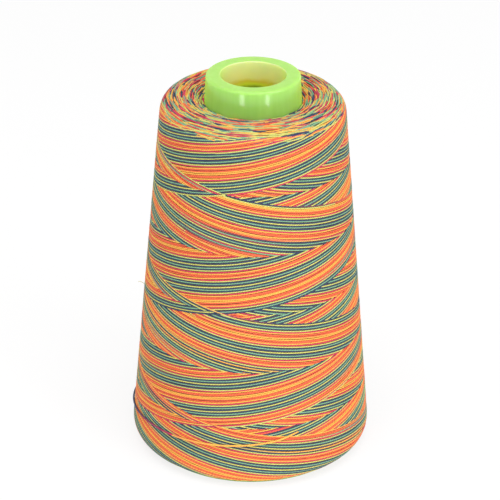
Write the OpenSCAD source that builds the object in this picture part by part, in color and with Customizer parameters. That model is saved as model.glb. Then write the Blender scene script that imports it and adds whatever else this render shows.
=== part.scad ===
// A cone of sewing thread for an overlocker (serger): a tapered plastic cone
// with a thick collar, a cross-wound package of thread on it, and the last
// turn of that thread, which lies loosely across the others near the foot.
// Millimetres, +Z up. The origin is the middle of the foot, on the table.

/* [Plastic cone] */
// Height of the cone, from the foot to the top of the collar
cone_h = 105; // [85:1:140]
// Outer radius of the cone at its foot
foot_r = 29; // [24:0.5:36]
// Outer radius of the cone where the collar starts
neck_r = 12.6; // [11.5:0.1:15]
// Thickness of the cone's wall, measured level
wall_t = 1.5; // [1:0.1:2.5]
// Thickness of the rim that the cone stands on
rim_t = 2.4; // [1:0.1:4]
// Height of that rim
rim_h = 2.5; // [1.5:0.1:5]

/* [Collar] */
// Height of the collar above the tapered wall
collar_h = 9; // [7:0.5:14]
// How much narrower the collar is at its top than at its foot, per side
collar_draft = 0.45; // [0:0.05:0.8]
// Radius of the hole that fits over a spool pin
bore_r = 8.5; // [6:0.1:9]
// Height of the slope from the tapered wall in to the hole
throat_h = 3; // [1.5:0.1:6]
// Rounding of the collar's outer top edge
collar_round = 0.8; // [0.3:0.1:1.2]
// Rounding of the hole's top edge
bore_round = 0.3; // [0.1:0.05:0.4]

/* [Wound thread] */
// Gap between the foot of the winding and the table
wind_gap = 0.8; // [0.4:0.1:3]
// Depth of thread on the cone at the foot of the winding
wind_foot_t = 3.7; // [3.2:0.1:8]
// Depth of thread on the cone at the head of the winding
wind_head_t = 11.4; // [8.5:0.1:16]
// How far the collar stands out of the winding's end face
collar_show = 5.1; // [3:0.1:7]
// How much lower the end face is beside the collar than at its crest
face_dip = 2; // [0.5:0.1:2.5]
// Width of the slope beside the collar
face_dip_w = 3.4; // [2:0.1:4]
// How far the rounded shoulder reaches in from the side
shoulder_w = 8; // [4:0.1:8]
// How far the rounded shoulder reaches down from the end face
shoulder_h = 5; // [3:0.1:10]
// How far the rounded lower edge reaches in from the side
heel_w = 3; // [1.5:0.1:3]
// How far the rounded lower edge reaches up from the foot of the winding
heel_h = 5; // [3:0.1:10]

/* [Last turn] */
// Thickness of the thread
thread_d = 0.5; // [0.3:0.05:0.8]
// Clearance between the thread and what it lies on
seat_gap = 0.05; // [0.02:0.01:0.15]

/* [Hidden] */
$fn = 96;
BEND_STEPS = 8;      // straight pieces in each rounded edge
RING_SIDES = 8;      // sides of the last turn's tube
RING_STEPS = 9;      // rings in each stretch of its route
neck_z = cone_h - collar_h;
face_z = cone_h - collar_show;

// Where the last turn runs: [angle round the winding, height], from where it
// comes out from under the winding's foot to where it sinks among the others.
LAST_TURN_ROUTE = [
    [-178, 1.6], [-150, 4.4], [-118, 7.2], [-88, 9.1],
    [-62, 10.8], [-38, 11.7], [-12, 12.7], [10, 14.0], [24, 15.6]
];

// Outer radius of the cone at a height: a straight taper up to the neck, then
// the collar's draft.
function cone_r(z) = z < neck_z
    ? foot_r + (neck_r - foot_r) * z / neck_z
    : neck_r - collar_draft * (z - neck_z) / collar_h;

// Points of the curve from a to c that leaves a and reaches c along the lines
// through the corner b.
function bend(a, b, c) = [
    for (i = [0 : BEND_STEPS]) let (t = i / BEND_STEPS)
        (1 - t) * (1 - t) * a + 2 * t * (1 - t) * b + t * t * c
];

// Radius of the winding's straight side, at a height.
side_foot_r = cone_r(wind_gap) + wind_foot_t;
side_head_r = cone_r(neck_z) + wind_head_t;
function side_r(z) = side_foot_r
    + (side_head_r - side_foot_r) * (z - wind_gap) / (neck_z - wind_gap);

// Radius of the winding's outside at a height, rounded lower edge included.
heel_top = wind_gap + heel_h;
function winding_r(z) = let (t = sqrt(max(0, z - wind_gap) / heel_h))
    z >= heel_top ? side_r(z)
    : (1 - t) * (1 - t) * (side_r(wind_gap) - heel_w)
        + 2 * t * (1 - t) * side_r(wind_gap) + t * t * side_r(heel_top);

// Tapered shell with a thick collar, open at the foot, with a hole through
// the collar.
module plastic_cone() {
    top_r = cone_r(cone_h);
    throat_z = neck_z - throat_h;
    color([0.62, 0.88, 0.42])
    rotate_extrude()
    polygon(concat(
        [[foot_r - rim_t, 0], [foot_r, 0], [neck_r, neck_z]],
        bend([cone_r(cone_h - collar_round), cone_h - collar_round],
             [top_r, cone_h],
             [top_r - collar_round, cone_h]),
        bend([bore_r + bore_round, cone_h],
             [bore_r, cone_h],
             [bore_r, cone_h - bore_round]),
        [[bore_r, neck_z],
         [cone_r(throat_z) - wall_t, throat_z],
         [cone_r(rim_h + rim_t) - wall_t, rim_h + rim_t],
         [foot_r - rim_t, rim_h]]
    ));
}

// The package of thread, a thick sleeve that seats on the cone and rises a
// little way up the collar.
module thread_winding() {
    dip_z = face_z - face_dip;
    dip_r = cone_r(dip_z) + seat_gap;
    shoulder_z = face_z - shoulder_h;
    color("sandybrown")
    rotate_extrude()
    polygon(concat(
        [[cone_r(wind_gap) + seat_gap, wind_gap]],
        bend([side_r(wind_gap) - heel_w, wind_gap],
             [side_r(wind_gap), wind_gap],
             [side_r(heel_top), heel_top]),
        bend([side_r(shoulder_z), shoulder_z],
             [side_r(face_z), face_z],
             [side_r(face_z) - shoulder_w, face_z]),
        [[dip_r + face_dip_w, face_z],
         [dip_r, dip_z],
         [neck_r + seat_gap, neck_z]]
    ));
}

// A point of the last turn's route, by a smooth curve through its neighbours.
function route_point(i, t) =
    let (n = len(LAST_TURN_ROUTE) - 1,
         a = LAST_TURN_ROUTE[max(0, i - 1)], b = LAST_TURN_ROUTE[i],
         c = LAST_TURN_ROUTE[min(n, i + 1)], d = LAST_TURN_ROUTE[min(n, i + 2)])
    0.5 * (2 * b + (c - a) * t + (2 * a - 5 * b + 4 * c - d) * t * t
        + (3 * b - a - 3 * c + d) * t * t * t);

// The middle of the thread at a place on that route: it lies on the winding.
function on_winding(place) =
    let (r = winding_r(place[1]) + thread_d / 2 + seat_gap)
    [r * sin(place[0]), -r * cos(place[0]), place[1]];

function unit(v) = v / norm(v);

// The last turn of thread, one tube swept along its route.
module last_turn() {
    route = [
        for (i = [0 : len(LAST_TURN_ROUTE) - 2], j = [0 : RING_STEPS - 1])
            on_winding(route_point(i, j / RING_STEPS)),
        on_winding(LAST_TURN_ROUTE[len(LAST_TURN_ROUTE) - 1])
    ];
    last = len(route) - 1;
    rings = [
        for (i = [0 : last])
            let (along = unit(route[min(last, i + 1)] - route[max(0, i - 1)]),
                 out = unit(cross([0, 0, 1], along)),
                 up = cross(along, out))
            for (k = [0 : RING_SIDES - 1])
                let (a = 360 * (k + 0.5) / RING_SIDES)
                route[i] + thread_d / 2 * (cos(a) * out + sin(a) * up)
    ];
    walls = [
        for (i = [0 : last - 1], k = [0 : RING_SIDES - 1])
            let (m = (k + 1) % RING_SIDES, base = i * RING_SIDES)
            [base + k, base + k + RING_SIDES, base + m + RING_SIDES, base + m]
    ];
    start_cap = [for (k = [0 : RING_SIDES - 1]) k];
    end_cap = [for (k = [RING_SIDES - 1 : -1 : 0]) last * RING_SIDES + k];
    color("midnightblue")
    polyhedron(rings, concat(walls, [start_cap, end_cap]));
}

plastic_cone();
thread_winding();
last_turn();
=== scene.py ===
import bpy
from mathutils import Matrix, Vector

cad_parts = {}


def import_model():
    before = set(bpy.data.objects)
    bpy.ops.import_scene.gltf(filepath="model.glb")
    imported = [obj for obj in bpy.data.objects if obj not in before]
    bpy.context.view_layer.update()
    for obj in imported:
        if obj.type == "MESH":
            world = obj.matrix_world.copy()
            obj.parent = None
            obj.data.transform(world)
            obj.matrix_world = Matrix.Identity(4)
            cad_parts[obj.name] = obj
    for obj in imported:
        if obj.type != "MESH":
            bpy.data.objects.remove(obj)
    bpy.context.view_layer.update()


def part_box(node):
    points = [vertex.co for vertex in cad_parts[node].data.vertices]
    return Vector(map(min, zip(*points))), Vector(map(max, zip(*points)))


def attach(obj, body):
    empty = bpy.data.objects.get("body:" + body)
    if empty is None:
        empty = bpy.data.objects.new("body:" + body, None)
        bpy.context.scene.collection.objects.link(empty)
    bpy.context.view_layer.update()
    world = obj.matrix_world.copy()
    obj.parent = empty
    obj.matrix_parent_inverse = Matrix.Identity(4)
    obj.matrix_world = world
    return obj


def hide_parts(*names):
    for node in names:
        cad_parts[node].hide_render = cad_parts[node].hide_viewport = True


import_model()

import math
import bpy
import numpy as np
from mathutils import Matrix, Vector

# A cone of variegated overlocker thread: a moulded plastic cone with an open
# collar, thread wound crosswise on it, and the last turn lying loose.
# Lengths are millimetres and angles degrees until a mesh or camera is made.
# Angle 0 is the front, -Y, and angles grow towards +X.
MM = 0.001


def node_size(name):
    """Outer radius, lowest and highest Z of a CAD node, in millimetres."""
    low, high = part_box(name)
    return high[0] / MM, low[2] / MM, high[2] / MM


# ---------------------------------------------------------------- sizes

# The plastic cone, from its node's box and the construction's own walls
FOOT_R, FOOT_Z, CONE_H = node_size("plastic_cone")
COLLAR_H = 9
NECK_Z = CONE_H - COLLAR_H
NECK_R = 12.6
COLLAR_DRAFT = 0.45      # how much narrower the collar is at its top, per side
COLLAR_ROUND = 0.8       # rounding of the collar's outer top edge
BORE_R = 8.5
BORE_ROUND = 0.35        # rounding of the hole's top edge
THROAT_H = 3             # height of the slope from the tapered wall in to the hole
WALL_T = 1.5             # thickness of the tapered wall, measured level
RIM_T = 2.4              # thickness of the rim that the cone stands on
RIM_H = 2.5
CREASE_R = 0.25          # rounding that a mould leaves on a plain corner
CREASE_HOLD = 1.6        # where the flat beside it begins, in those roundings
CONE_FACETS = 192        # facets once round

# The package of thread
_, WIND_FOOT_Z, FACE_Z = node_size("thread_winding")
WIND_FOOT_T = 3.7        # depth of thread on the cone at the package's foot
WIND_HEAD_T = 11.4       # and at its head
HEEL_W = 3               # how far the rounded lower edge reaches in from the side
HEEL_H = 5               # and up from the foot
HEEL_LIFT = 0.6          # how far the lowest turns stay above the package's foot
SHOULDER_W = 8           # how far the rounded shoulder reaches in from the side
SHOULDER_H = 5           # and down from the end face
DISH_R = 18.5            # radius at which the end face starts to dip towards the collar
DISH_BEND_R = 16.2       # radius of the corner that the dip bends round
DISH_BEND_DROP = 0.7     # and how far that corner lies below the face
FACE_DIP = 2.1           # how much lower the face is beside the collar
SEAT_GAP = 0.05          # clearance between thread and plastic
OUTLINE_STEPS = 1200     # places at which the package's outline is read
SKIN_BLEND = 6           # places on either side over which its slope is averaged
CORE_DEPTH = 1.15        # how deep the older turns lie, in heights of a strand
CORE_STRIDE = 6          # every sixth place of the outline shapes them
CORE_INSIDE = [1, 0.66, 0.33]       # where their inside has rings, in neck heights
CORE_FACETS = 180

# How the thread was laid: three turns up the cone, three turns down
TURNS_PER_TRAVERSE = 3
BANDS = 2 * TURNS_PER_TRAVERSE      # bands between circles on which turns cross
LEAD = 32.3                         # rise of one turn
BAND_H = LEAD / 2
CROSS_MID_Z = 50.0                  # middle of the package, where the last turns cross
CROSS_MID_ANGLE = -15               # and the angle at which they cross there
LOWEST_CROSS_Z = CROSS_MID_Z - TURNS_PER_TRAVERSE * BAND_H
LAYS = 79                           # double traverses until the pattern closes up
STEP_ANGLE = 360 / LAYS             # how far each double traverse lies behind the next
FOOT_ROUND = 5                      # angle over which the thread rounds off at the foot
HEAD_ROUND = 12                     # and at the head
ROUND_REACH = 60                    # how far from there the rounding is felt

# The thread
STRAND_W = 0.37          # width along the package
STRAND_H = 0.36          # height out of it, a little flattened by the winding's tension
STRAND_SIDES = 8
RING_ANGLE = 2.0         # angle from one ring of a strand to the next
FEWEST_RINGS = 4
TWIST_LENGTH = 1.4       # one full twist of the two plies, coarser than real so that it shows
DIVE_DEPTH = 0.55        # how deep a strand's end sinks under its neighbours
DIVE_OUT = 4             # angle for which a covered end carries on
DIVE_IN = 2              # angle before the end at which it starts to sink
NEWEST_DIVE = 0.15       # share of that depth for the newest turn, which nothing covers

# Small faults of the winding, as (size, waves in one turn of the package)
SLOW_DRIFT = (0.06, 2.3)            # up and down the package
QUICK_DRIFT = (0.03, 7.1)
SWELL = (0.02, 5.3)                 # in and out
LIE_SPREAD = 0.04                   # how unevenly deep whole turns lie
SEED = 20                           # for all that is left to chance, the same each run

# ---------------------------------------------------------------- dyes

YELLOW = "#D0CE70"
RED = "#EC6A46"
NAVY = "#384360"
CRIMSON = "#D03E5C"
AMBER = "#F6B450"
MINT = "#80B08C"

# The dyes in the order in which they follow each other along the thread. Each
# has its length in 34ths of the repeat and its share of the arcs on the end
# faces, where they lie too closely to be followed one by one.
DYES = [(YELLOW, 6, 0.22), (RED, 3, 0.06), (NAVY, 4, 0.08), (CRIMSON, 2, 0.10),
        (AMBER, 3, 0.10), (MINT, 4, 0.18), (AMBER, 3, 0.10), (CRIMSON, 2, 0.05),
        (NAVY, 4, 0.07), (RED, 3, 0.04)]
DYE_PARTS = 34
DYE_REPEAT = 4000        # thread that passes before the colours repeat
DYE_PART = DYE_REPEAT / DYE_PARTS
DYE_BLEED = 8            # length over which one dye runs into the next, fibre by fibre
DYE_BLEND = 0.16         # length over which two dyes mix, in 34ths
DYE_DRIFT = 0.15         # how unevenly the dyed lengths fall, in 34ths
DYE_MIDDLES = np.cumsum([parts for _, parts, _ in DYES]) - [parts / 2 for _, parts, _ in DYES]
FACE_SHARES = [share for _, _, share in DYES]

# Each lay takes 9/34 of the dye repeat more than a whole number of repeats. For
# each band from the foot up: where its newest lay is in the repeat, in 34ths.
LAY_STEP = 9
RISING_START = [27.0, 0.5, 12.5, 28.5, 5.0, 14.5]
FALLING_START = [15.25, 32.75, 12.75, 21.75, 9.0, 1.75]

# ---------------------------------------------------------------- end faces

# The turns that show on the two end faces are short arcs. newest_z is the height
# on the side at which the newest arc lies, reaches is how far a leg of an arc
# runs from its middle, and slopes is how steeply it runs back outwards.
HEAD_ARCS = {"newest_z": 96.3, "count": 1700, "reaches": (1.8, 3.6), "slopes": (0.07, 0.20)}
FOOT_ARCS = {"newest_z": 2.1, "count": 260, "reaches": (2.5, 5.0), "slopes": (0.025, 0.1)}
GOLDEN_ANGLE = 137.508   # from one arc to the next, so that no two lie in line
ARC_TURN = 20            # how unevenly they follow each other round the face
ARC_SHIFT = 0.15         # and how unevenly across it
ARC_ROUND = (1.5, 4.0)   # length over which an arc turns back
ARC_LEVEL = 5            # distance from the oldest arc within which legs run more level
ARC_LEAST = 0.1          # share of its slope that a leg keeps there
ARC_RIPPLE = (0.05, 1.1)            # size of an arc's unevenness, and its rate per millimetre
ARC_SINK = 0.5           # how deep an arc's ends sink
ARC_SINK_L = 2.0         # length over which they sink
ARC_LIE = (-0.06, 0.18)  # depths at which arcs lie
ARC_RING = 1.3           # distance from one ring of an arc to the next
ARC_SIDES = 6
ARC_DYE_RATE = 3.0       # how much faster the dye passes in them than along one thread
ARC_DYE_SPREAD = 1       # how far an arc's dye lies from the middle of its length, in 34ths
FACE_MARGIN = 0.1        # distance that arcs keep from the ends of the outline

# ---------------------------------------------------------------- loose ends

# Angle and height of the last turn, from under the foot to where it sinks in
LAST_TURN_ROUTE = [
    [-178, 1.6], [-150, 4.4], [-118, 7.2], [-88, 9.1],
    [-62, 10.8], [-38, 11.7], [-12, 12.7], [10, 14.0], [24, 15.6],
]
LAST_TURN_D = 0.5
LAST_TURN_STEPS = 12     # rings in each stretch of that route
LAST_TURN_SINK = 0.5     # how deep its two ends sink among the others
LAST_TURN_ENDS = (-166, 14)         # angles beyond which they do
LAST_TURN_EASE = 10                 # angle over which they do
DYE_CHANGE = -42         # angle at which the last turn goes from one dye to the next
NAVY_END = 13            # where the first navy ends in the repeat, in 34ths
CRIMSON_PARTS = 2        # length of the crimson after it

FIBRE_ANGLE = -88        # where a stray fibre stands off the side
FIBRE_Z = 44.2
FIBRE_D = 0.12
FIBRE_L = 1.8
FIBRE_ROOT = 0.15        # how deep it is rooted
FIBRE_RISE = 1.0
FIBRE_BOW = 0.35         # how far it bows up on its way
FIBRE_RINGS = 9
FIBRE_SIDES = 6

# ---------------------------------------------------------------- picture rows

# The strands lie in rows in a picture that their colours can be painted on
BAKE_GAP = 0.012         # room at each end of a strand, in widths of the picture
BAKE_ROW_GAP = 0.06      # room above and below it, in heights of a row
BAKE_COLUMNS = 12        # arcs of an end face side by side in one row

# ---------------------------------------------------------------- lamps and camera

WORLD_LIGHT = 0.54
FLOOR_HALF = 3.0         # metres from the middle of the floor to its edge
FLOOR_WHITE = 0.8        # how white the floor shows through its shadow

# Each lamp's place, the point that it faces and its size, in metres, and its watts.
# The two low strips give the collar its upright highlights.
SOFTBOXES = [
    ("overhead_softbox", (0.0, -0.25, 0.95), (0, 0, 0.05), (0.9, 0.7), 6.2),
    ("left_softbox", (-0.75, -0.55, 0.45), (0, 0, 0.05), (0.5, 0.7), 0.8),
    ("right_softbox", (0.75, -0.55, 0.45), (0, 0, 0.05), (0.5, 0.7), 3.2),
    ("front_softbox", (0.2, -1.0, 0.4), (0, 0, 0.05), (0.8, 0.8), 1.5),
    ("left_strip", (-0.084, -0.180, 0.038), (-0.003, -0.012, 0.103), (0.032, 0.05), 0.05),
    ("right_strip", (0.104, -0.160, 0.038), (0.004, -0.012, 0.103), (0.032, 0.05), 0.05),
]

CAMERA_AIM_Z = 0.05418   # height at which the camera aims, in metres
CAMERA_DISTANCE = 0.5717            # metres
CAMERA_TILT = 27.54      # angle above the horizon
CAMERA_ROLL = 0.5
LENS = 154.9             # focal length
SENSOR_W = 36
LENS_SHIFT = (-0.0036, 0.0014)      # in widths of the sensor
NEAREST_SEEN = 0.01      # metres


# ---------------------------------------------------------------- curves

def cone_r(z):
    """Outer radius of the cone: a straight taper up to the neck, then the draft."""
    taper = FOOT_R + (NECK_R - FOOT_R) * z / NECK_Z
    collar = NECK_R - COLLAR_DRAFT * (z - NECK_Z) / COLLAR_H
    return np.where(z < NECK_Z, taper, collar)


def side_r(z):
    """Radius of the package's straight side, in line from its foot to its head."""
    foot = cone_r(WIND_FOOT_Z) + WIND_FOOT_T
    head = cone_r(NECK_Z) + WIND_HEAD_T
    return foot + (head - foot) * (z - WIND_FOOT_Z) / (NECK_Z - WIND_FOOT_Z)


def bend(start, corner, end, steps=16):
    """Curve from start to end that leaves and arrives along the lines through the corner.

    It is the sum of the three points, weighted (1 - t) squared, 2 t (1 - t)
    and t squared, while t goes from 0 to 1.
    """
    t = np.linspace(0, 1, steps + 1)[:, None]
    start, corner, end = (np.asarray(p, float) for p in (start, corner, end))
    return (1 - t) ** 2 * start + 2 * t * (1 - t) * corner + t ** 2 * end


def smooth(x):
    """Eases from 0 to 1 while x goes from 0 to 1: three x squared less two x cubed."""
    x = np.clip(x, 0, 1)
    return x * x * (3 - 2 * x)


def degree_length(radius):
    """Length of one degree of arc at a radius."""
    return 2 * math.pi * radius / 360


def round_z(radius, angle, height):
    """Points round Z: x is the radius times the angle's sine, y less it times its cosine.

    The angle is in radians, and z is the height.
    """
    return np.stack([radius * np.sin(angle), -radius * np.cos(angle), height + 0 * angle], -1)


# ---------------------------------------------------------------- meshes

def make_piece(name, points, quads, material, node=None, uvs=None):
    """Puts points in millimetres and four-cornered faces into a piece that rides on the root."""
    mesh = bpy.data.meshes.new(name)
    quads = np.asarray(quads, np.int32)
    mesh.vertices.add(len(points))
    mesh.vertices.foreach_set("co", (points * MM).astype(np.float32).ravel())
    mesh.loops.add(quads.size)
    mesh.loops.foreach_set("vertex_index", quads.ravel())
    mesh.polygons.add(len(quads))
    mesh.polygons.foreach_set("loop_start", np.arange(0, quads.size, 4, dtype=np.int32))
    mesh.update(calc_edges=True)
    mesh.polygons.foreach_set("use_smooth", np.ones(len(quads), bool))
    for map_name, places in (uvs or {}).items():
        layer = mesh.uv_layers.new(name=map_name)
        layer.data.foreach_set("uv", places.astype(np.float32).ravel())
    mesh.materials.append(material)
    piece = bpy.data.objects.new(name, mesh)
    bpy.context.scene.collection.objects.link(piece)
    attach(piece, "root")
    if node:
        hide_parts(node)
    return piece


def ring_quads(rows, columns):
    """Faces of a grid that closes up both ways: each joins a cell's four corners."""
    i, j = np.meshgrid(np.arange(rows), np.arange(columns), indexing="ij")
    i2 = (i + 1) % rows
    j2 = (j + 1) % columns
    corners = (i * columns + j, i * columns + j2, i2 * columns + j2, i2 * columns + j)
    return np.stack(corners, -1).reshape(-1, 4)


def turned(name, outline, facets, material, node):
    """Turns a closed outline of (radius, height), walked outwards along its foot, once round Z."""
    radius, height = outline.T[:, :, None]
    angle = np.radians(np.arange(facets) * 360 / facets)[None, :]
    points = round_z(radius, angle, height).reshape(-1, 3)
    return make_piece(name, points, ring_quads(len(outline), facets), material, node)


def swept(name, centre, outward, strand, run, material, sides=STRAND_SIDES, width=STRAND_W,
          height=STRAND_H, bake=None, node=None):
    """Oval tubes along many paths at once.

    centre and outward hold one row for each ring of each strand, strand says
    which tube a ring belongs to and run how far along the thread it is. Each
    ring is an ellipse across the path: its width lies along the package and
    its height along outward. The ends are closed. bake is each ring's place in
    a picture: how far across it, and the lowest and highest edge of its row.
    """
    rings = len(centre)
    index = np.arange(rings)
    after = np.minimum(index + 1, rings - 1)
    before = np.maximum(index - 1, 0)
    after = np.where(strand[after] == strand, after, index)
    before = np.where(strand[before] == strand, before, index)
    along = centre[after] - centre[before]
    along /= np.linalg.norm(along, axis=1)[:, None]
    across = np.cross(outward, along)
    across /= np.linalg.norm(across, axis=1)[:, None]
    up = np.cross(along, across)
    turn = 2 * np.pi * np.arange(sides) / sides
    points = (centre[:, None]
              + width / 2 * np.cos(turn)[None, :, None] * across[:, None]
              + height / 2 * np.sin(turn)[None, :, None] * up[:, None])

    # Walls join each ring to the next, and the end rings are filled in strips
    first = index[after != index]
    side = np.arange(sides)
    a = (first[:, None] * sides + side).ravel()
    b = (first[:, None] * sides + (side + 1) % sides).ravel()
    walls = np.stack([a, b, b + sides, a + sides], -1)
    ends = index[after == index]
    starts = index[before == index]
    j = np.arange(sides // 2 - 1)
    cap = np.stack([j, j + 1, sides - 2 - j, sides - 1 - j], -1)
    end_caps = (ends[:, None, None] * sides + cap).reshape(-1, 4)
    start_caps = (starts[:, None, None] * sides + cap[:, ::-1]).reshape(-1, 4)
    quads = np.concatenate([walls, end_caps, start_caps])

    # Corner values: the walls carry on round to 1 where the section closes,
    # and each cap is a small patch past the end of its row
    ring_of = quads // sides
    share = (quads % sides) / sides
    closing = np.zeros(quads.shape, bool)
    closing[:len(walls), 1:3] = share[:len(walls), 1:3] == 0
    share = np.where(closing, 1, share)
    uvs = {"thread_run": np.stack([run[ring_of], share], -1)}
    if bake is not None:
        across_picture, low, high = (part[ring_of] for part in bake)
        caps = np.zeros(quads.shape)
        caps[len(walls):] = BAKE_GAP / 3 * (1 + np.cos(turn[quads[len(walls):] % sides]))
        caps[len(walls) + len(end_caps):] *= -1
        uvs["OFBake"] = np.stack([across_picture + caps, low + (high - low) * share], -1)
    return make_piece(name, points.reshape(-1, 3), quads, material, node, uvs)


# ---------------------------------------------------------------- materials

def linear(hex_code):
    """Linear colour of an sRGB hex code such as #A0C030."""
    parts = np.array([int(hex_code[i:i + 2], 16) for i in (1, 3, 5)]) / 255
    parts = np.where(parts <= 0.04045, parts / 12.92, ((parts + 0.055) / 1.055) ** 2.4)
    return (*parts.tolist(), 1.0)


def add(tree, kind, links=None, values=None, **settings):
    """Adds a node: settings are its properties, values its sockets, links what feeds them."""
    made = tree.nodes.new(kind)
    for key, value in settings.items():
        setattr(made, key, value)
    for key, value in (values or {}).items():
        made.inputs[key].default_value = value
    for key, source in (links or {}).items():
        tree.links.new(source, made.inputs[key])
    return made


def set_stops(ramp, stops):
    """Gives a colour ramp its stops: each is a place from 0 to 1 and a hex code."""
    ramp.elements.remove(ramp.elements[1])
    for number, (spot, code) in enumerate(stops):
        stop = ramp.elements.new(spot) if number else ramp.elements[0]
        stop.position = spot
        stop.color = linear(code)


def new_material(name):
    """An empty material, and its node tree."""
    material = bpy.data.materials.new(name)
    material.use_nodes = True
    material.node_tree.nodes.clear()
    return material, material.node_tree


def dye_stops():
    """The ramp's stops for one repeat: each dye keeps level between short blends."""
    stops = []
    begins = 0
    for code, parts, _ in DYES:
        ends = begins + parts
        stops.append(((begins + DYE_BLEND / 2) / DYE_PARTS, code))
        stops.append(((ends - DYE_BLEND / 2) / DYE_PARTS, code))
        begins = ends
    return stops


def twisted_polyester():
    """Space-dyed polyester, two plies twisted: matt lengths of one dye, a fine slanting twist.

    The dye is read by how far along the thread a place is. Loose fibres, half
    a millimetre apart, fleck it and make each change of dye ragged. The plies'
    grooves, two in each turn of twist, are lower, and painted shade makes them
    darker, with painted light on the crests between them.
    """
    material, tree = new_material("space_dyed_twisted_polyester")
    place = add(tree, "ShaderNodeUVMap", uv_map="thread_run").outputs[0]
    parts = add(tree, "ShaderNodeSeparateXYZ", {0: place}).outputs
    run, around = parts[0], parts[1]
    where = add(tree, "ShaderNodeTexCoord").outputs["Object"]
    fibres = add(tree, "ShaderNodeTexNoise", {"Vector": where},
                 {"Scale": 1 / (0.5 * MM), "Detail": 2.0, "Roughness": 0.6})
    wick = add(tree, "ShaderNodeMath", {0: fibres.outputs[0], 2: run}, {1: DYE_BLEED},
               operation="MULTIPLY_ADD")
    repeat = add(tree, "ShaderNodeMath", {0: wick.outputs[0]}, {1: 1 / DYE_REPEAT},
                 operation="MULTIPLY")
    spot = add(tree, "ShaderNodeMath", {0: repeat.outputs[0]}, operation="FRACT")
    dye = add(tree, "ShaderNodeValToRGB", {0: spot.outputs[0]})
    set_stops(dye.color_ramp, dye_stops())

    turns = add(tree, "ShaderNodeMath", {0: run}, {1: 1 / TWIST_LENGTH}, operation="MULTIPLY")
    wind = add(tree, "ShaderNodeMath", {0: turns.outputs[0], 1: around}, operation="ADD")
    grooves = add(tree, "ShaderNodeMath", {0: wind.outputs[0]}, {1: 4 * math.pi},
                  operation="MULTIPLY")
    wave = add(tree, "ShaderNodeMath", {0: grooves.outputs[0]}, operation="SINE")
    lift = add(tree, "ShaderNodeMath", {0: wave.outputs[0]}, {1: 0.5, 2: 0.5},
               operation="MULTIPLY_ADD")
    # painted shade in the plies' grooves and painted light on their crests: the dye is scaled from
    # 0.72 to 1.08 along the twist
    twist_painted_shade_and_light = add(tree, "ShaderNodeMapRange", {"Value": lift.outputs[0]},
               {"To Min": 0.72, "To Max": 1.08})
    fleck = add(tree, "ShaderNodeMapRange", {"Value": fibres.outputs[0]},
                {"From Min": 0.3, "From Max": 0.7, "To Min": 0.88, "To Max": 1.08})
    shade = add(tree, "ShaderNodeMath", {0: twist_painted_shade_and_light.outputs[0], 1: fleck.outputs[0]},
                operation="MULTIPLY")
    colour = add(tree, "ShaderNodeVectorMath",
                 {0: dye.outputs[0], "Scale": shade.outputs[0]}, operation="SCALE")
    bump = add(tree, "ShaderNodeBump", {"Height": lift.outputs[0]},
               {"Strength": 0.6, "Distance": 0.04 * MM})
    surface = add(tree, "ShaderNodeBsdfPrincipled",
                  {"Base Color": colour.outputs[0], "Normal": bump.outputs[0]},
                  {"Roughness": 0.6, "IOR": 1.45, "Specular IOR Level": 0.35})
    add(tree, "ShaderNodeOutputMaterial", {"Surface": surface.outputs[0]})
    return material


def older_turns():
    """The same thread in the shade of the turns above it: dark, mottled along the turns.

    The mottling is 4 mm long and a sixth as high.
    """
    material, tree = new_material("shaded_older_turns_of_polyester")
    where = add(tree, "ShaderNodeTexCoord").outputs["Object"]
    place = add(tree, "ShaderNodeMapping", {"Vector": where}, {"Scale": (1, 1, 6)})
    mottle = add(tree, "ShaderNodeTexNoise", {"Vector": place.outputs[0]},
                 {"Scale": 1 / (4 * MM), "Detail": 3.0})
    dye = add(tree, "ShaderNodeValToRGB", {0: mottle.outputs[0]})
    set_stops(dye.color_ramp, [(0.35, "#5A4C40"), (0.65, "#A86C40")])
    surface = add(tree, "ShaderNodeBsdfPrincipled", {"Base Color": dye.outputs[0]},
                  {"Roughness": 0.8})
    add(tree, "ShaderNodeOutputMaterial", {"Surface": surface.outputs[0]})
    return material


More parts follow.
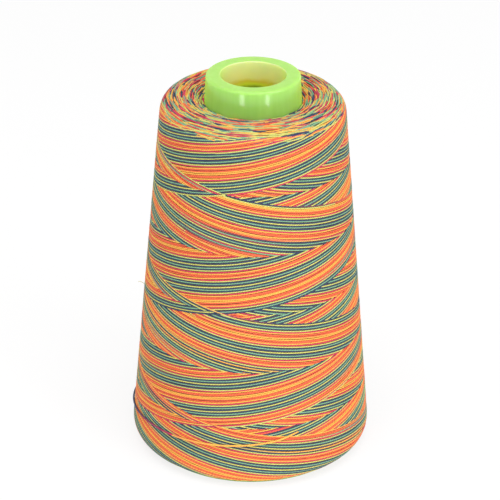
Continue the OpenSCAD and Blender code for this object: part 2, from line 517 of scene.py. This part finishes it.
def lime_polypropylene():
    """Injection-moulded translucent polypropylene: light spreads in it, its skin is half glossy.

    Flow streaks 1.6 mm wide run up it. Down the hole its colour is painted light
    and shade: paler for the light that comes through it from outside, then painted
    patches of 4 mm, yellow for the thread behind it seen through the wall and then
    dark for the painted shade where that thread blocks the light. A green sheen
    stands for the light that gathers at its edges.
    """
    material, tree = new_material("moulded_translucent_polypropylene")
    where = add(tree, "ShaderNodeTexCoord").outputs["Object"]
    flow = add(tree, "ShaderNodeMapping", {"Vector": where}, {"Scale": (1, 1, 0.08)})
    streaks = add(tree, "ShaderNodeTexNoise", {"Vector": flow.outputs[0]},
                  {"Scale": 1 / (1.6 * MM), "Detail": 2.0})
    dye = add(tree, "ShaderNodeValToRGB", {0: streaks.outputs[0]})
    set_stops(dye.color_ramp, [(0.3, "#94C660"), (0.7, "#9CCC68")])

    # The hole's painted light and shade, by height and with the patches' ragged edges
    low = NECK_Z - 2
    high = CONE_H + 1
    parts = add(tree, "ShaderNodeSeparateXYZ", {0: where}).outputs
    patches = add(tree, "ShaderNodeTexNoise", {"Vector": where},
                  {"Scale": 1 / (4 * MM), "Detail": 2.0})
    height = add(tree, "ShaderNodeMath", {0: patches.outputs[0], 2: parts[2]},
                 {1: 2.2 * MM}, operation="MULTIPLY_ADD")
    down = add(tree, "ShaderNodeMapRange", {"Value": height.outputs[0]},
               {"From Min": low * MM, "From Max": high * MM})
    through = add(tree, "ShaderNodeValToRGB", {0: down.outputs[0]})
    # painted light and shade down the hole: dark painted shade low down, yellow painted light for
    # the thread seen through, pale painted light at the top
    shows = [(NECK_Z + 0.6, "#5E7A20"), (NECK_Z + 2.6, "#8CA42C"), (NECK_Z + 3.4, "#E8EC3C"),
             (NECK_Z + 4.4, "#ECD650"), (NECK_Z + 5.5, "#F4EA98"), (high, "#DAE2A6")]
    set_stops(through.color_ramp, [((z - low) / (high - low), code) for z, code in shows])

    # Where the painted light and shade go: the hole, above the slope below it, and no further out
    # than its wall
    level = add(tree, "ShaderNodeVectorMath", {0: where}, {1: (1, 1, 0)}, operation="MULTIPLY")
    radius = add(tree, "ShaderNodeVectorMath", {0: level.outputs[0]}, operation="LENGTH")
    near_hole = add(tree, "ShaderNodeMapRange", {"Value": radius.outputs["Value"]},
                    {"From Min": (BORE_R + 0.15) * MM, "From Max": (BORE_R + 0.03) * MM})
    above_slope = add(tree, "ShaderNodeMapRange", {"Value": parts[2]},
                      {"From Min": low * MM, "From Max": NECK_Z * MM})
    painted_light_in_hole = add(tree, "ShaderNodeMath", {0: near_hole.outputs[0], 1: above_slope.outputs[0]},
                  operation="MULTIPLY")
    colour = add(tree, "ShaderNodeMix",
                 {"Factor": painted_light_in_hole.outputs[0], 6: dye.outputs[0], 7: through.outputs[0]},
                 data_type="RGBA")

    bump = add(tree, "ShaderNodeBump", {"Height": streaks.outputs[0]},
               {"Strength": 0.10, "Distance": 0.03 * MM})
    surface = add(tree, "ShaderNodeBsdfPrincipled",
                  {"Base Color": colour.outputs[2], "Normal": bump.outputs[0]},
                  {"Roughness": 0.18, "IOR": 1.49, "Subsurface Weight": 1.0,
                   "Subsurface Radius": (0.8, 1.0, 0.4), "Subsurface Scale": 4.0 * MM,
                   "Sheen Weight": 1.0, "Sheen Roughness": 0.55,
                   "Sheen Tint": linear("#C8FF60")})
    add(tree, "ShaderNodeOutputMaterial", {"Surface": surface.outputs[0]})
    return material


# ---------------------------------------------------------------- plastic cone

def creased(corners, may_round):
    """Rounds the corners of a closed outline that may_round names, and keeps the others.

    A rounded corner becomes a bend between the points CREASE_R before and after
    it, with one more point on each flat beside it.
    """
    back = np.roll(corners, 1, axis=0) - corners
    ahead = np.roll(corners, -1, axis=0) - corners
    back *= CREASE_R / np.linalg.norm(back, axis=1)[:, None]
    ahead *= CREASE_R / np.linalg.norm(ahead, axis=1)[:, None]
    here = corners[:, None]
    curve = bend(here + back[:, None], here, here + ahead[:, None], steps=4)
    before = here + back[:, None] * CREASE_HOLD
    after = here + ahead[:, None] * CREASE_HOLD
    points = np.concatenate([before, curve, after], axis=1)
    points[~may_round, 0] = corners[~may_round]
    kept = np.repeat(may_round[:, None], points.shape[1], axis=1)
    kept[:, 0] = True
    return points[kept]


def plastic_cone(material):
    """Tapered shell with a thick collar: its outline turned round Z."""
    top_r = float(cone_r(CONE_H))
    edge_r = float(cone_r(CONE_H - COLLAR_ROUND))
    throat_z = NECK_Z - THROAT_H
    inner_z = RIM_H + RIM_T
    foot = [(FOOT_R - RIM_T, FOOT_Z), (FOOT_R, FOOT_Z)]
    neck = [(NECK_R, NECK_Z)]
    collar_edge = bend((edge_r, CONE_H - COLLAR_ROUND), (top_r, CONE_H),
                       (top_r - COLLAR_ROUND, CONE_H), steps=10)
    bore_edge = bend((BORE_R + BORE_ROUND, CONE_H), (BORE_R, CONE_H),
                     (BORE_R, CONE_H - BORE_ROUND), steps=6)
    inside = [(BORE_R, NECK_Z), (float(cone_r(throat_z)) - WALL_T, throat_z),
              (float(cone_r(inner_z)) - WALL_T, inner_z), (FOOT_R - RIM_T, RIM_H)]
    corners = np.concatenate([foot, neck, collar_edge, bore_edge, inside])
    may_round = np.zeros(len(corners), bool)
    may_round[:len(foot)] = True
    may_round[-len(inside):] = True
    return turned("moulded_cone", creased(corners, may_round), CONE_FACETS, material,
                  "plastic_cone")


# ---------------------------------------------------------------- package of thread

def package_outline():
    """Outline of the package's outside, from under its foot, up its side, in to the collar."""
    foot_r = float(side_r(WIND_FOOT_Z))
    head_r = float(side_r(FACE_Z))
    heel_z = WIND_FOOT_Z + HEEL_LIFT
    heel_top = WIND_FOOT_Z + HEEL_H
    shoulder_z = FACE_Z - SHOULDER_H
    dip_z = FACE_Z - FACE_DIP
    under = [(float(cone_r(heel_z)) + SEAT_GAP, heel_z)]
    heel = bend((foot_r - HEEL_W, heel_z), (foot_r, heel_z), (float(side_r(heel_top)), heel_top))
    shoulder = bend((float(side_r(shoulder_z)), shoulder_z), (head_r, FACE_Z),
                    (head_r - SHOULDER_W, FACE_Z))
    shoulder = shoulder[shoulder[:, 0] > DISH_R]
    dish = bend(shoulder[-1], (DISH_BEND_R, FACE_Z - DISH_BEND_DROP),
                (float(cone_r(dip_z)) + SEAT_GAP, dip_z))
    return np.concatenate([under, heel, shoulder, dish[1:]])


class Package:
    """The package's outside, read by s, the distance walked along its outline.

    r and z are the radius and height there, and lean is the angle at which the
    outside faces up, averaged over a short way so that it turns smoothly.
    """
    corners = package_outline()
    leg = np.linalg.norm(np.diff(corners, axis=0), axis=1)
    corner_s = np.concatenate([[0], np.cumsum(leg)])
    s = np.linspace(0, corner_s[-1], OUTLINE_STEPS)
    r = np.interp(s, corner_s, corners[:, 0])
    z = np.interp(s, corner_s, corners[:, 1])
    lean = np.unwrap(np.arctan2(-np.gradient(r, s), np.gradient(z, s)))
    window = np.full(2 * SKIN_BLEND + 1, 1 / (2 * SKIN_BLEND + 1))
    lean = np.convolve(np.pad(lean, SKIN_BLEND, mode="edge"), window, "valid")
    just_above_foot = z[0] + 1e-6
    side = slice(int(np.argmax(z > just_above_foot)), int(np.argmax(z)))

    @classmethod
    def at_height(cls, z):
        """Distance along the outline at which its side reaches height z."""
        return np.interp(z, cls.z[cls.side], cls.s[cls.side])

    @classmethod
    def place(cls, angle, s, depth):
        """Point at an angle and distance along the outline, depth under it, and its normal."""
        r = np.interp(s, cls.s, cls.r)
        z = np.interp(s, cls.s, cls.z)
        lean = np.interp(s, cls.s, cls.lean)
        turn = np.radians(angle)
        normal = round_z(np.cos(lean), turn, np.sin(lean))
        return round_z(r, turn, z) - normal * depth[:, None], normal


def package_core(material):
    """The older turns as one solid: the package's outline, a strand's height under its skin."""
    deep = STRAND_H * CORE_DEPTH
    skin = np.stack([Package.r - np.cos(Package.lean) * deep,
                     Package.z - np.sin(Package.lean) * deep], -1)[::CORE_STRIDE]
    skin[:, 0] = np.maximum(skin[:, 0], cone_r(skin[:, 1]) + SEAT_GAP)
    inner_z = NECK_Z * np.array(CORE_INSIDE)
    inside = np.stack([cone_r(inner_z) + SEAT_GAP, inner_z], -1)
    return turned("older_turns", np.concatenate([skin, inside]), CORE_FACETS, material,
                  "thread_winding")


def strands_of(lengths, spacing):
    """Rings for many strands: which strand each belongs to, and its share along it, 0 to 1."""
    counts = np.maximum(FEWEST_RINGS, np.ceil(lengths / spacing).astype(int) + 1)
    strand = np.repeat(np.arange(len(lengths)), counts)
    first = np.repeat(np.cumsum(counts) - counts, counts)
    share = (np.arange(len(strand)) - first) / (counts[strand] - 1)
    return strand, share


def bake_row(row, rows):
    """Lowest and highest edge of a row of the picture, with room on either side."""
    return (row + BAKE_ROW_GAP) / rows, (row + 1 - BAKE_ROW_GAP) / rows


def crossing_height(band, travel):
    """Height at an angle travelled since the band's lower circle.

    It rises evenly, by LEAD in each turn. Near the foot and the head the angle
    to where the traverse turns back is replaced by the hypotenuse of that angle
    and the rounding's, which rounds the turn off.
    """
    slope = LEAD / 360
    if band == 0:
        travelled = np.hypot(travel, FOOT_ROUND * (travel < ROUND_REACH))
        return LOWEST_CROSS_Z + slope * travelled
    if band == BANDS - 1:
        left = 180 - travel
        top = LOWEST_CROSS_Z + BANDS * BAND_H
        return top - slope * np.hypot(left, HEAD_ROUND * (left < ROUND_REACH))
    return LOWEST_CROSS_Z + band * BAND_H + LEAD * travel / 360


def winding_faults(travel, strand, rng):
    """How far each turn drifts up the package and how deep it lies: waves along the turn."""
    begin = rng.uniform(0, 2 * np.pi, (3, 2 * LAYS))
    size, waves = np.array([SLOW_DRIFT, QUICK_DRIFT, SWELL]).T[:, :, None]
    slow, quick, swell = size * np.sin(np.radians(travel) * waves + begin[:, strand])
    lie = rng.uniform(0, LIE_SPREAD, 2 * LAYS)
    return slow + quick, swell + lie[strand]


def wound_band(band, rng, material):
    """The turns that show in one band, between two circles on which all turns cross.

    Lay k is 0 for the last thread laid and k steps further back for older
    ones. In each band the newer turn covers the older: rising lay k shows from
    half of k steps up to the upper circle, falling lay k from the lower circle
    to where the rising lays cover it. A turn's angle is the crossing's, plus
    the angle travelled where it rises or less it where it falls, less k steps.
    Its height is crossing_height's, and that height's place on the package's
    outline gives its radius.
    """
    lay = np.tile(np.arange(LAYS), 2)
    falling = np.repeat([False, True], LAYS)
    way = np.where(falling, -1, 1)
    behind = lay * STEP_ANGLE
    start = np.where(falling, 0, behind / 2)
    end = np.where(falling, 180 - behind / 2, 180)
    strand, share = strands_of(end - start + 2 * DIVE_OUT, RING_ANGLE)
    travel = (start - DIVE_OUT)[strand] + (end - start + 2 * DIVE_OUT)[strand] * share
    inside = np.minimum(travel - start[strand], end[strand] - travel)
    covered = smooth((DIVE_IN - inside) / (DIVE_IN + DIVE_OUT))
    dive = DIVE_DEPTH * np.where(falling & (lay == 0), NEWEST_DIVE, 1)

    drift, swell = winding_faults(travel, strand, rng)
    depth = dive[strand] * covered + swell
    cross = CROSS_MID_ANGLE + 180 * (band - TURNS_PER_TRAVERSE)
    angle = cross + way[strand] * travel - behind[strand]
    s = Package.at_height(crossing_height(band, travel) + drift)
    centre, normal = Package.place(angle, s, depth + STRAND_H / 2)

    # Place in the dye repeat: what the lay's number gives at the front, and the
    # thread passed from there on
    middle = cross + way * (start + end) / 2 - behind
    turned_to = angle - 360 * np.round(middle / 360)[strand]
    newest = np.where(falling, FALLING_START[band], RISING_START[band])
    place = (newest - LAY_STEP * lay + rng.normal(0, DYE_DRIFT, 2 * LAYS)) % DYE_PARTS
    passed = way[strand] * turned_to * degree_length(float(side_r(CROSS_MID_Z)))
    run = place[strand] * DYE_PART + passed

    # Rising lay k shares its row of the picture with falling lay LAYS - k, so
    # that the two together are as long as the row
    row = np.where(falling, (LAYS - lay) % LAYS, lay)[strand]
    reach = (end - start)[strand] / 180 * (1 - 4 * BAKE_GAP) * share
    picture = np.where(falling[strand], 1 - BAKE_GAP - reach, BAKE_GAP + reach)
    return swept(f"wound_turns_{band + 1}", centre, normal, strand, run, material,
                 bake=(picture, *bake_row(row, LAYS)))


def end_turns(name, s_last, rng, material, newest_z, count, reaches, slopes):
    """Arcs at which the thread turned back on an end face, oldest at s_last on the outline.

    Each arc is a flat hyperbola: it bulges inwards to its place on the face and
    both legs run back outwards, where they sink under newer arcs. At a distance
    x from its middle it lies further out by its slope times the hypotenuse of x
    and its rounding, less that rounding.
    """
    s_first = float(Package.at_height(newest_z))
    inwards = np.sign(s_last - s_first)
    age = (np.arange(count) + 0.5) / count
    peak_s = s_first + (s_last - s_first) * age + rng.normal(0, ARC_SHIFT, count)
    low, high = sorted((s_first, s_last))
    peak_s = np.clip(peak_s, low + FACE_MARGIN, high - FACE_MARGIN)
    peak_angle = -np.arange(count) * GOLDEN_ANGLE + rng.uniform(-ARC_TURN, ARC_TURN, count)
    reach = rng.uniform(*reaches, (2, count))
    slope = rng.uniform(*slopes, (2, count))

    # Arcs are longer and flatter where the face is wider, and level near the oldest
    spread = np.interp(peak_s, Package.s, Package.r) / NECK_R
    reach = reach * spread
    slope = slope / spread * np.clip(np.abs(s_last - peak_s) / ARC_LEVEL, ARC_LEAST, 1)
    round_off = rng.uniform(*ARC_ROUND, count)
    strand, share = strands_of(reach.sum(0), ARC_RING)
    x = -reach[0, strand] + reach.sum(0)[strand] * share
    leg = (x > 0).astype(int)
    fall = slope[leg, strand] * (np.hypot(x, round_off[strand]) - round_off[strand])
    begin = rng.uniform(0, 2 * np.pi, count)
    size, rate = ARC_RIPPLE
    s = peak_s[strand] - inwards * fall + size * np.sin(x * rate + begin[strand])
    s = np.clip(s, FACE_MARGIN, Package.s[-1] - FACE_MARGIN)
    edge = np.minimum(x + reach[0, strand], reach[1, strand] - x)
    depth = ARC_SINK * smooth((ARC_SINK_L - edge) / ARC_SINK_L)
    depth = depth + rng.uniform(*ARC_LIE, count)[strand]
    angle = peak_angle[strand] + np.degrees(x / np.interp(s, Package.s, Package.r))
    centre, normal = Package.place(angle, s, depth + STRAND_H / 2)

    place = rng.choice(DYE_MIDDLES, count, p=FACE_SHARES)
    place = place + rng.uniform(-ARC_DYE_SPREAD, ARC_DYE_SPREAD, count)
    run = place[strand] * DYE_PART + x * ARC_DYE_RATE

    row, column = np.divmod(strand, BAKE_COLUMNS)
    rows = math.ceil(count / BAKE_COLUMNS)
    picture = (column + 3 * BAKE_GAP + (1 - 6 * BAKE_GAP) * share) / BAKE_COLUMNS
    return swept(name, centre, normal, strand, run, material, sides=ARC_SIDES,
                 bake=(picture, *bake_row(row, rows)))


# ---------------------------------------------------------------- loose ends

def last_turn(material):
    """The loose last turn: a smooth curve through its route, laid on the package.

    Between two points of the route it follows the cubic that passes through
    both, in the direction from each one's neighbour before to its neighbour after.
    """
    route = np.array(LAST_TURN_ROUTE, float)
    stretches = len(route) - 1
    t = np.arange(stretches * LAST_TURN_STEPS + 1) / LAST_TURN_STEPS
    i = np.minimum(t.astype(int), stretches - 1)
    u = (t - i)[:, None]
    a = route[np.maximum(i - 1, 0)]
    b = route[i]
    c = route[i + 1]
    d = route[np.minimum(i + 2, stretches)]
    angle, height = (0.5 * (2 * b + (c - a) * u + (2 * a - 5 * b + 4 * c - d) * u ** 2
                            + (3 * b - a - 3 * c + d) * u ** 3)).T
    under, over = LAST_TURN_ENDS
    sink = smooth((angle - over) / LAST_TURN_EASE) + smooth((under - angle) / LAST_TURN_EASE)
    depth = sink * LAST_TURN_SINK - LAST_TURN_D / 2 - SEAT_GAP
    centre, normal = Package.place(angle, Package.at_height(height), depth)

    # Navy as far as the change of dye, then on past the crimson into the amber
    run = NAVY_END * DYE_PART + (angle - DYE_CHANGE) * degree_length(FOOT_R)
    run = run + np.where(angle > DYE_CHANGE, CRIMSON_PARTS * DYE_PART, 0)
    return swept("loose_last_turn", centre, normal, np.zeros(len(t), int), run, material,
                 width=LAST_TURN_D, height=LAST_TURN_D, node="last_turn")


def stray_fibre(material):
    """One loose filament that stands off the side: a straight run that bows up a little."""
    t = np.linspace(0, 1, FIBRE_RINGS)
    radius = float(side_r(FIBRE_Z)) - FIBRE_ROOT + FIBRE_L * t
    height = FIBRE_Z + FIBRE_RISE * t + FIBRE_BOW * np.sin(np.pi * t)
    centre = round_z(radius, np.radians(FIBRE_ANGLE), height)
    outward = np.tile([0.0, -1.0, 0.0], (FIBRE_RINGS, 1))
    run = DYE_MIDDLES[0] * DYE_PART + FIBRE_L * t
    return swept("stray_fibre", centre, outward, np.zeros(FIBRE_RINGS, int), run, material,
                 sides=FIBRE_SIDES, width=FIBRE_D, height=FIBRE_D)


# ---------------------------------------------------------------- stage

def seen_directly(tree):
    """1 for what the camera sees, also in a glossy surface or through a clear one, else 0."""
    path = add(tree, "ShaderNodeLightPath").outputs
    seen = add(tree, "ShaderNodeMath", {0: path["Is Camera Ray"], 1: path["Is Glossy Ray"]},
               operation="MAXIMUM")
    seen = add(tree, "ShaderNodeMath", {0: seen.outputs[0], 1: path["Is Transmission Ray"]},
               operation="MAXIMUM")
    return seen.outputs[0]


def stage():
    """Wide white floor that shows white and keeps a soft shadow."""
    material, tree = new_material("white_studio_paper")
    diffuse = add(tree, "ShaderNodeBsdfDiffuse", values={"Color": linear("#F4F4F4")})
    glow = add(tree, "ShaderNodeEmission", values={"Color": linear("#FFFFFF"), "Strength": 1.0})
    share = add(tree, "ShaderNodeMath", {0: seen_directly(tree)}, {1: FLOOR_WHITE},
                operation="MULTIPLY")
    mixed = add(tree, "ShaderNodeMixShader",
                {0: share.outputs[0], 1: diffuse.outputs[0], 2: glow.outputs[0]})
    add(tree, "ShaderNodeOutputMaterial", {"Surface": mixed.outputs[0]})
    mesh = bpy.data.meshes.new("studio_floor")
    half = FLOOR_HALF
    mesh.from_pydata([(-half, -half, 0), (half, -half, 0), (half, half, 0), (-half, half, 0)],
                     [], [(0, 1, 2, 3)])
    mesh.materials.append(material)
    floor = bpy.data.objects.new("studio_floor", mesh)
    bpy.context.scene.collection.objects.link(floor)


def world():
    """Even white light from all round, and white where the camera looks past the floor."""
    made = bpy.data.worlds.new("studio_world")
    bpy.context.scene.world = made
    made.use_nodes = True
    tree = made.node_tree
    tree.nodes.clear()
    white = linear("#FFFFFF")
    light = add(tree, "ShaderNodeBackground", values={"Color": white, "Strength": WORLD_LIGHT})
    backdrop = add(tree, "ShaderNodeBackground", values={"Color": white, "Strength": 1.0})
    mixed = add(tree, "ShaderNodeMixShader",
                {0: seen_directly(tree), 1: light.outputs[0], 2: backdrop.outputs[0]})
    add(tree, "ShaderNodeOutputWorld", {"Surface": mixed.outputs[0]})


def softbox(name, place, target, size, watts):
    """A rectangular lamp at place, in metres, turned to face target."""
    data = bpy.data.lights.new(name, "AREA")
    data.shape = "RECTANGLE"
    data.size, data.size_y = size
    data.energy = watts
    lamp = bpy.data.objects.new(name, data)
    lamp.visible_camera = False
    bpy.context.scene.collection.objects.link(lamp)
    lamp.location = place
    lamp.rotation_euler = (Vector(target) - Vector(place)).to_track_quat("-Z", "Y").to_euler()


def camera():
    """A long lens that looks down on the cone, turned by half a degree."""
    tilt = math.radians(CAMERA_TILT)
    roll = math.radians(CAMERA_ROLL)
    back = Vector((0, -math.cos(tilt), math.sin(tilt)))
    level_up = Vector((0, math.sin(tilt), math.cos(tilt)))
    level_right = Vector((1, 0, 0))
    right = level_right * math.cos(roll) + level_up * math.sin(roll)
    up = level_up * math.cos(roll) - level_right * math.sin(roll)
    data = bpy.data.cameras.new("camera")
    data.lens = LENS
    data.sensor_width = SENSOR_W
    data.shift_x, data.shift_y = LENS_SHIFT
    data.clip_start = NEAREST_SEEN
    made = bpy.data.objects.new("camera", data)
    bpy.context.scene.collection.objects.link(made)
    place = Vector((0, 0, CAMERA_AIM_Z)) + back * CAMERA_DISTANCE
    turn = Matrix((right, up, back)).transposed()
    made.matrix_world = Matrix.Translation(place) @ turn.to_4x4()
    bpy.context.scene.camera = made


# ---------------------------------------------------------------- the object

bpy.context.scene.view_settings.view_transform = "Standard"
camera()
world()
stage()
for lamp in SOFTBOXES:
    softbox(*lamp)

thread = twisted_polyester()
shaded = older_turns()
plastic = lime_polypropylene()

plastic_cone(plastic)
package_core(shaded)
chance = np.random.default_rng(SEED)
for band in range(BANDS):
    wound_band(band, chance, thread)
end_turns("head_face_turns", float(Package.s[-1]), chance, thread, **HEAD_ARCS)
end_turns("foot_face_turns", 0.0, chance, thread, **FOOT_ARCS)
last_turn(thread)
stray_fibre(thread)

bpy.context.view_layer.update()
